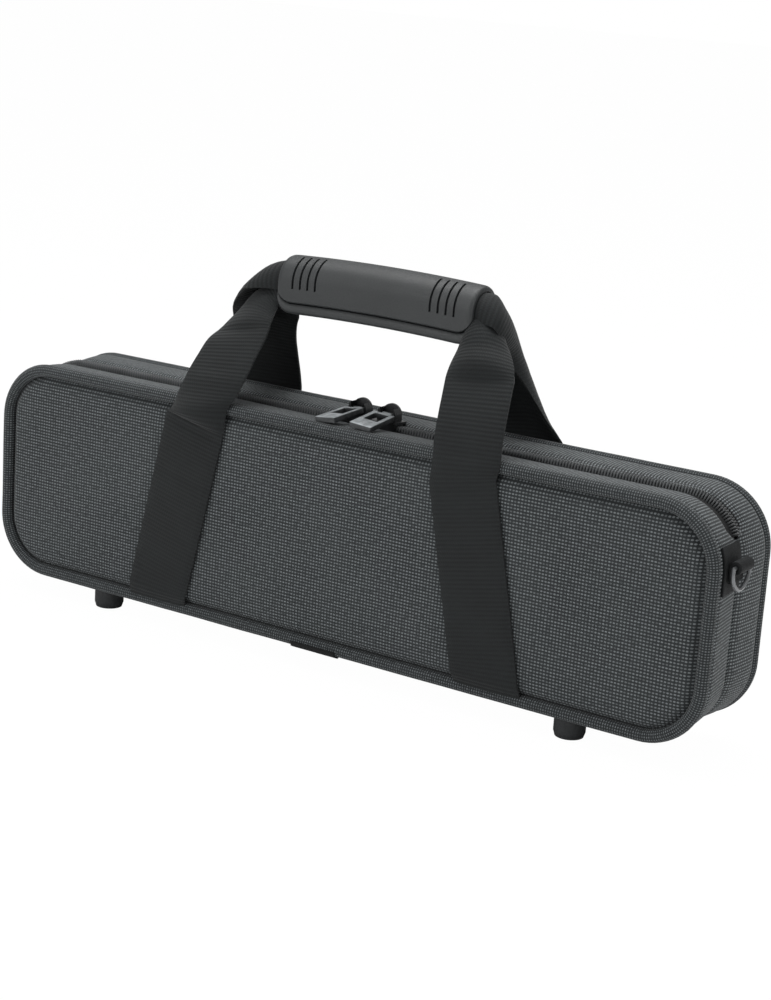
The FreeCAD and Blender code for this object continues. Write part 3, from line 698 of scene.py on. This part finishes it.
def makeStrap(hand):
    label, body = bodies[hand]
    radius = strap["radius"][hand]
    leg = (strap["width"] - math.pi * radius) / 2
    rows = sewnRows(hand, 1) + freeRows(hand, 1)
    for step in range(1, strap["gripSteps"]):
        x = grip["shift"] + grip["half"] * (1 - 2 * step / strap["gripSteps"])
        z = grip["z"] - leg + archedGrip(x)
        inner, outer = (Vector((x, grip["y"] + side * radius, z)) for side in (hand, -hand))
        rows.append(webbingRow(inner, outer, Vector((0, 0, 1))))
    rows += freeRows(hand, -1)[::-1] + sewnRows(hand, -1)[::-1]
    runs = [0.0]
    half = strap["steps"] // 2
    for a, b in zip(rows, rows[1:]):
        runs.append(runs[-1] + max(0.0002, (a[half] - b[half]).length))

    def markAt(i, j):
        place = j if j <= strap["steps"] else 2 * strap["steps"] + 1 - j
        return runs[i], place * strap["width"] * mm / strap["steps"]

    form = bmesh.new()
    skinRows(form, rows, markAt, closedAcross=True, capped=True)
    covered = [label + "_straps_sewn", label + "_strap_loop"]
    piece = addPiece(label + "Strap", form, strapWebbing, None, covered, angle=60)
    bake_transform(piece)


for hand in bodies:
    makeStrap(hand)
print("straps made")


# The grip: a cover with slits, closed over a cradle with a lip.

cover = {"slits": 4, "slitWidth": 1.3, "slitPitch": 4.7, "slitStart": 9.4, "slitDepth": 1.5,
         "slitLow": math.radians(104), "slitHigh": math.radians(194), "slitWall": 0.12, "slitEnd": 0.25,
         "hem": 0.7, "arcSteps": (18, 10, 10),
         "ends": ((0, 1.7), (0.25, 1.0), (0.8, 0.45), (1.7, 0.1), (3, 0), (4.5, 0), (6.5, 0), (8, 0)),
         "middle": (29, 24, 18, 12, 6, 0)}
cradle = {"corner": 8.5, "rib": 4.5, "rearRound": 4, "frontRound": 2.6, "floor": 2.2, "top": -0.3, "lipDrop": 0.7,
          "turns": (0, 0.4, 0.8, 1.2, 1.57), "ribTurns": (0, 0.4, 0.8, 1.2, 1.57, 1.97, 2.37, 2.77, 3.14),
          "ends": ((58.9, 1.2), (58.4, 0.5), (57.6, 0.1)), "middle": (56, 54, 52, 50, 40, 30, 20, 10)}


def cornerRise(x, radius):
    beyond = max(0.0, abs(x) - (grip["half"] - radius))
    return radius - math.sqrt(max(0.0, radius ** 2 - min(beyond, radius * 0.99) ** 2))


def gripAt(x, y, z):
    return Vector((x + grip["shift"], grip["y"] + y, grip["z"] + z + archedGrip(x + grip["shift"]))) * mm


def coverRing(x, shrink, cut):
    # The cover's section: from its rear edge over the top, then down to the hem in front. Its inner face runs back.
    arcEnd = math.pi * grip["radius"]
    end = arcEnd + grip["leg"] - cornerRise(x, grip["corner"])
    low, high = (cover[key] * grip["radius"] for key in ("slitLow", "slitHigh"))
    before, along, after = cover["arcSteps"]
    spots = [low * step / before for step in range(before + 1)] + [low + cover["slitEnd"]]
    spots += [low + (high - low) * step / along for step in range(1, along)] + [high - cover["slitEnd"], high]
    spots += [high + (end - high) * step / after for step in range(1, after + 1)]
    points = []
    for inner in (False, True):
        face = []
        for index, spot in enumerate(spots):
            depth = grip["wall"] if inner else shrink
            if not inner:
                depth += cut if before < index < before + along + 2 else 0.0
                depth += cover["hem"] if index == len(spots) - 1 else 0.0
            turn = min(spot, arcEnd) / grip["radius"]
            reach = grip["radius"] - depth
            face.append(gripAt(x, reach * math.cos(turn), reach * math.sin(turn) - max(0.0, spot - arcEnd)))
        points += face[::-1] if inner else face
    return points


def coverStations():
    wall, width, depth = cover["slitWall"], cover["slitWidth"], cover["slitDepth"]
    marks = [(grip["half"] - inward, shrink, 0.0) for inward, shrink in cover["ends"]]
    for index in range(cover["slits"]):
        edge = grip["half"] - cover["slitStart"] - index * cover["slitPitch"]
        marks += [(edge, 0.0, 0.0), (edge - wall, 0.0, depth)]
        marks += [(edge - width + wall, 0.0, depth), (edge - width, 0.0, 0.0)]
    marks += [(x, 0.0, 0.0) for x in cover["middle"]]
    return marks + [(-x, shrink, cut) for x, shrink, cut in marks[-2::-1]]


form = bmesh.new()
skinRows(form, [coverRing(*mark) for mark in coverStations()], closedAcross=True, capped=True)
addPiece("gripCover", form, gripRubber, "grip_wrap", ["grip_cover"], angle=35)


def cradleRing(x, shrink):
    # The cradle's section: down its rear side, under, up to the lip in front, and over the rib inside.
    outer, inner, rib = grip["radius"] - shrink, grip["radius"] - grip["wall"], cradle["rib"]
    low = -grip["low"] + cornerRise(x, cradle["corner"]) + shrink
    lip = -grip["leg"] - cradle["lipDrop"] + cornerRise(x, grip["corner"])
    floor = max(low + cradle["floor"], cradle["frontRound"] - grip["low"])
    rear, front = cradle["rearRound"], cradle["frontRound"]
    points = [(outer, cradle["top"]), (outer, low + rear)]
    points += [(outer - rear + rear * math.cos(a), low + rear - rear * math.sin(a)) for a in cradle["turns"][1:]]
    points += [(front - outer - front * math.sin(a), low + front - front * math.cos(a)) for a in cradle["turns"]]
    points += [(0.5 - outer, lip - 0.9), (1.3 - outer, lip), (-inner, lip), (-inner, floor), (-rib, floor)]
    points += [(rib * -math.cos(a), rib * math.sin(a)) for a in cradle["ribTurns"]]
    points += [(rib, floor), (inner, floor), (inner, cradle["top"])]
    return [gripAt(x, y, z) for y, z in points]


form = bmesh.new()
marks = [*cradle["ends"], *((x, 0) for x in cradle["middle"])]
marks += [(0, 0)] + [(-x, shrink) for x, shrink in reversed(marks)]
skinRows(form, [cradleRing(*mark) for mark in marks], closedAcross=True, capped=True)
addPiece("gripCradle", form, gripRubber, "rear_handle", ["grip_cradle"], angle=35)
print("grip made")


# The zip: a chain of separate teeth on two tapes.

zipChain = {"pitch": 1.64, "base": 4.0, "rise": 3.0, "width": 1.05,
            "halfRun": case["runX"] + case["corner"] * (case["zipEnd"] + 0.04),
            "profile": ((-0.25, 0.3), (0.1, 0.78), (0.8, 0.98), (1.55, 1.0), (2.3, 0.86), (2.75, 0.5), (2.9, 0.0)),
            "crown": ((-0.5, 0.5), (-0.3, 0.92), (0.0, 1.0), (0.3, 0.92), (0.5, 0.5))}
tape = {"steps": 120, "edges": ((4.0, 0.25), (4.0, 12), (4.6, 12), (4.6, 0.25)), "marks": (0.25, 12, 12.6, 24, 24.6)}


def alongZip(run):
    x, z = case["runX"], case["runZ"]
    if abs(run) <= x:
        return run, z, math.pi / 2, run
    turn = (abs(run) - x) / case["corner"]
    return math.copysign(x, run), z, math.pi / 2 - math.copysign(turn, run), run


def addTooth(form, run, hand):
    rows = []
    for offset, height in zipChain["crown"]:
        station = alongZip(run + offset * zipChain["width"])
        rows.append([atOutline(station, zipChain["base"] - zipChain["rise"] * rise * height, hand * depth)
                     for depth, rise in zipChain["profile"]])
    skinRows(form, rows)


for hand, (label, body) in bodies.items():
    form = bmesh.new()
    for index in range(round(2 * zipChain["halfRun"] / zipChain["pitch"])):
        addTooth(form, zipChain["pitch"] * (index + 0.5 + 0.25 * hand) - zipChain["halfRun"], hand)
    addPiece(label + "Coil", form, coilNylon, body, [label + "_zip_coil"], angle=60)
    form = bmesh.new()
    runs = [zipChain["halfRun"] * (2 * step / tape["steps"] - 1) for step in range(tape["steps"] + 1)]
    rows = [[atOutline(alongZip(run), inset, hand * depth) for inset, depth in tape["edges"]] for run in runs]
    skinRows(form, rows, lambda i, j: (runs[i] * mm, tape["marks"][j] * mm), closedAcross=True, capped=True)
    addPiece(label + "Tape", form, tapeCloth, body, [label + "_zip_tape"])
print("zip made")


# Foam, lining and patches: the CAD solids' forms, remeshed, rounded and softened. Then the hinge tape.

softening = {"weld": 0.01, "waves": 90, "smoothBelow": 70}
lining = {"foamVoxel": 3.0, "foamShrink": 1.2, "foamWave": 0.3, "plushVoxel": 1.6, "plushWave": 0.5, "reach": 1.6,
          "pile": 0.9}
patch = {"voxel": 0.4, "wave": 0.1}
hinge = {"half": 174.0, "near": 6.0, "low": 12.05, "thickness": 0.7, "sag": 0.12, "swayScale": 0.05, "steps": 116,
         "across": 16}


def softCopy(name, sources, voxel, passes, wave, shrink=0.0):
    form = bmesh.new()
    for node in sources:
        form.from_mesh(nodes[node].data)
    bmesh.ops.remove_doubles(form, verts=form.verts, dist=softening["weld"] * mm)
    piece = meshObject(name, form)
    applyModifier(piece, "REMESH", mode="VOXEL", voxel_size=voxel * mm)
    applyModifier(piece, "SMOOTH", iterations=passes)
    form = bmesh.new()
    form.from_mesh(piece.data)
    form.normal_update()
    for corner in form.verts:
        lift = noise.noise(corner.co * softening["waves"]) * wave - shrink
        corner.co += corner.normal * (lift * mm)
    form.to_mesh(piece.data)
    form.free()
    return piece


def dress(piece, material, body, replaced):
    piece.data.materials.clear()
    piece.data.materials.append(material)
    finishPiece(piece, body, replaced, angle=softening["smoothBelow"])


for hand, half in ((1, "tray"), (-1, "lid")):
    body = bodies[hand][1]
    foam = softCopy(half + "Foam", [half + "_foam"], lining["foamVoxel"], 2, lining["foamWave"], lining["foamShrink"])
    dress(foam, foamLook, body, [half + "_foam"])
    plush = softCopy(half + "Plush", [half + "_foam", half + "_plush"], lining["plushVoxel"], 3, lining["plushWave"])
    layer = BVHTree.FromObject(nodes[half + "_plush"], bpy.context.evaluated_depsgraph_get())
    form = bmesh.new()
    form.from_mesh(plush.data)
    # Only what lies on the CAD lining stays, and is then given its thickness.
    spare = [face for face in form.faces if face.normal.y * hand > 0.1
             or layer.find_nearest(face.calc_center_median())[3] > lining["reach"] * mm]
    bmesh.ops.delete(form, geom=spare, context="FACES")
    form.to_mesh(plush.data)
    form.free()
    applyModifier(plush, "SOLIDIFY", thickness=lining["pile"] * mm, offset=-1.0)
    dress(plush, plushPile, body, [half + "_plush"])

for name, node, body, material in (
        ("rearPipingJoin", "rear_piping_join", "base", tapeCloth),
        ("frontPipingJoin", "front_piping_join", "lid", tapeCloth),
        ("ringPatches", "ring_patches", "lid", patchCloth),
        ("ringLoops", "ring_loops", "lid", patchCloth)):
    dress(softCopy(name, [node], patch["voxel"], 2, patch["wave"]), material, body, [node])


def hingeMark(i, j):
    across = hinge["across"]
    place = j if j <= across else 2 * across + 1 - j
    return i * 2 * hinge["half"] / hinge["steps"] * mm, place * 2 * hinge["near"] / across * mm


form = bmesh.new()
rows = []
offsets = [place / (hinge["across"] / 2) - 1 for place in range(hinge["across"] + 1)]
flat = [(hinge["near"] * offset, hinge["low"] + hinge["sag"] * (1 - abs(offset))) for offset in offsets]
for step in range(hinge["steps"] + 1):
    x = hinge["half"] * (step / (hinge["steps"] / 2) - 1)
    sway = hinge["sag"] * noise.noise(Vector((x * hinge["swayScale"], 0, 0)))
    under = [Vector((x, y, z + sway)) * mm for y, z in flat]
    over = [Vector((x, y, z + sway + hinge["thickness"])) * mm for y, z in flat[::-1]]
    rows.append(under + over)
skinRows(form, rows, hingeMark, closedAcross=True, capped=True)
hingeTape = addPiece("hingeTape", form, tapeCloth, None, ["hinge_tape"])
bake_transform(hingeTape)
print("soft pieces made")


# Pulls and rivets.

# The pull's last entry gives how far up a face must look to get the painted highlight instead of the painted shade.
pull = {"width": 12.5, "length": 28.6, "near": 4.4, "thick": 3.0, "side": 2.3, "block": 10.0, "bar": 2.2,
        "bevel": 0.45, "eye": 5.4, "eyeRadius": 1.75, "eyeWall": 0.75, "neckLength": 5.0, "neckAt": 3.2,
        "neckThick": 1.8, "neckBevel": 0.3, "dip": 5.0, "pinZ": 135.1, "paler": 0.55}
rivet = {"radius": 2.9, "height": 0.9, "x": 146.5, "y": 20.0, "z": 1.9, "inset": 0.9, "lifts": (-0.35, -0.2)}


def addShape(add, **sizes):
    clearSelection()
    add(**sizes)
    bpy.ops.object.transform_apply(location=True, rotation=True, scale=True)
    return bpy.context.active_object


def editSelected(piece, chosen):
    # Only the faces that "chosen" picks stay selected, in edit mode.
    bpy.context.view_layer.objects.active = piece
    bpy.ops.object.mode_set(mode="EDIT")
    bpy.context.tool_settings.mesh_select_mode = (False, False, True)
    bpy.ops.mesh.select_all(action="DESELECT")
    form = bmesh.from_edit_mesh(piece.data)
    for face in form.faces:
        face.select_set(chosen(face))
    form.select_flush(True)
    bmesh.update_edit_mesh(piece.data)


def makePull(name, body, node, centreX, roll, splay):
    # A frame with a window, bevelled, then an eye on the pin and a neck between them.
    half, thick = pull["width"] / 2, pull["thick"]
    reach = pull["length"] - pull["near"]
    side = (half - pull["side"]) * mm
    windowLow, windowHigh = (pull["block"] - pull["length"]) * mm, -(pull["near"] + pull["bar"]) * mm
    piece = addShape(bpy.ops.mesh.primitive_cube_add, size=1, scale=(pull["width"] * mm, reach * mm, thick * mm),
                     location=(0, -(pull["near"] + reach / 2) * mm, 0))
    bpy.ops.object.mode_set(mode="EDIT")
    for spot, way in (((side, 0, 0), (1, 0, 0)), ((-side, 0, 0), (1, 0, 0)),
                      ((0, windowLow, 0), (0, 1, 0)), ((0, windowHigh, 0), (0, 1, 0))):
        bpy.ops.mesh.select_all(action="SELECT")
        bpy.ops.mesh.bisect(plane_co=spot, plane_no=way)
    bpy.ops.object.mode_set(mode="OBJECT")

    def inWindow(face):
        middle = face.calc_center_median()
        return abs(face.normal.z) > 0.9 and abs(middle.x) < side and windowLow < middle.y < windowHigh

    editSelected(piece, inWindow)
    bpy.ops.mesh.bridge_edge_loops()
    bpy.ops.object.mode_set(mode="OBJECT")
    applyModifier(piece, "BEVEL", width=pull["bevel"] * mm, segments=3, limit_method="ANGLE")
    eye = addShape(bpy.ops.mesh.primitive_cylinder_add, vertices=32, radius=pull["eyeRadius"] * mm,
                   depth=pull["eye"] * mm, rotation=(0, math.pi / 2, 0))
    editSelected(eye, lambda face: abs(face.normal.x) > 0.9)
    bpy.ops.mesh.inset(thickness=pull["eyeWall"] * mm)
    bpy.ops.mesh.bridge_edge_loops()
    bpy.ops.object.mode_set(mode="OBJECT")
    neck = addShape(bpy.ops.mesh.primitive_cube_add, size=1, location=(0, -pull["neckAt"] * mm, 0),
                    scale=(pull["eye"] * mm, pull["neckLength"] * mm, pull["neckThick"] * mm))
    applyModifier(neck, "BEVEL", width=pull["neckBevel"] * mm, segments=2)
    selectOnly(eye, neck, piece)
    bpy.ops.object.join()
    piece.data.materials.clear()
    piece.data.materials.append(pullPaintedLitTop)
    piece.data.materials.append(pullPaintedShadeSide)
    for face in piece.data.polygons:  # Faces that look up get the painted highlight, a lighter copy of the metal; the other faces get the painted shade.
        face.material_index = 0 if face.normal.z > pull["paler"] else 1
    turn = Matrix.Rotation(math.radians(splay), 4, "Z") @ Matrix.Rotation(math.radians(pull["dip"]), 4, "X")
    turn = turn @ Matrix.Rotation(math.radians(roll), 4, "Y")
    piece.data.transform(Matrix.Translation(Vector((centreX, 0, pull["pinZ"])) * mm) @ turn)
    piece.name = name
    finishPiece(piece, body, [node], angle=35)


makePull("leftPull", "left_pull", "pull_left", centreX=-1.0, roll=-7.0, splay=-4.0)
makePull("rightPull", "right_pull", "pull_right", centreX=17.0, roll=5.0, splay=3.0)

for label, x, y in (("frontLeft", -1, -1), ("frontRight", 1, -1), ("rearLeft", -1, 1), ("rearRight", 1, 1)):
    head = addShape(bpy.ops.mesh.primitive_cylinder_add, vertices=32, radius=rivet["radius"] * mm,
                    depth=rivet["height"] * mm, location=(x * rivet["x"] * mm, y * rivet["y"] * mm, rivet["z"] * mm))
    editSelected(head, lambda face: face.normal.z < -0.9)
    for lift in rivet["lifts"]:
        bpy.ops.mesh.inset(thickness=rivet["inset"] * mm)
        bpy.ops.transform.translate(value=(0, 0, lift * mm))
    bpy.ops.object.mode_set(mode="OBJECT")
    head.name = label + "Rivet"
    head.data.materials.append(ringSteel)
    finishPiece(head, bodies[y][1], [], angle=40)
print("metal pieces made")


# CAD nodes that keep their shape.

kept = {"rear_feet": footRubber, "front_feet": footRubber, "slider_left": sliderMetal, "slider_right": sliderMetal,
        "d_ring_left": ringSteel, "d_ring_right": ringSteel}
for name, material in kept.items():
    nodes[name].data.materials.clear()
    nodes[name].data.materials.append(material)


# Floor and background. The camera sees the floor lit to "glow" and the surround at full strength.

stage = {"floorSize": 14, "floorMiddle": (0, 2, 0), "floorShade": 0.86, "glow": 0.985, "surround": 0.5}


def floorMaterial():
    material = bpy.data.materials.new("paleFloor")
    material.use_nodes = True
    tree = material.node_tree
    tree.nodes.clear()
    paper = tree.nodes.new("ShaderNodeBsdfDiffuse")
    paper.inputs["Color"].default_value = (*[stage["floorShade"]] * 3, 1)
    glow = tree.nodes.new("ShaderNodeEmission")
    mix = tree.nodes.new("ShaderNodeMixShader")
    seen = tree.nodes.new("ShaderNodeLightPath").outputs["Is Camera Ray"]
    tree.links.new(calc(tree, "MULTIPLY", seen, stage["glow"]), mix.inputs[0])
    tree.links.new(paper.outputs[0], mix.inputs[1])
    tree.links.new(glow.outputs[0], mix.inputs[2])
    tree.links.new(mix.outputs[0], tree.nodes.new("ShaderNodeOutputMaterial").inputs[0])
    return material


clearSelection()
bpy.ops.mesh.primitive_plane_add(size=stage["floorSize"], location=stage["floorMiddle"])
floor = bpy.context.active_object
floor.name = "floor"
floor.data.materials.append(floorMaterial())
world = bpy.context.scene.world or bpy.data.worlds.new("world")
bpy.context.scene.world = world
world.use_nodes = True
backdrop = world.node_tree.nodes["Background"]
backdrop.inputs["Color"].default_value = (1, 1, 1, 1)
seen = world.node_tree.nodes.new("ShaderNodeLightPath").outputs["Is Camera Ray"]
world.node_tree.links.new(ramp(world.node_tree, seen, 0, 1, stage["surround"], 1.0), backdrop.inputs["Strength"])
print("stage made")
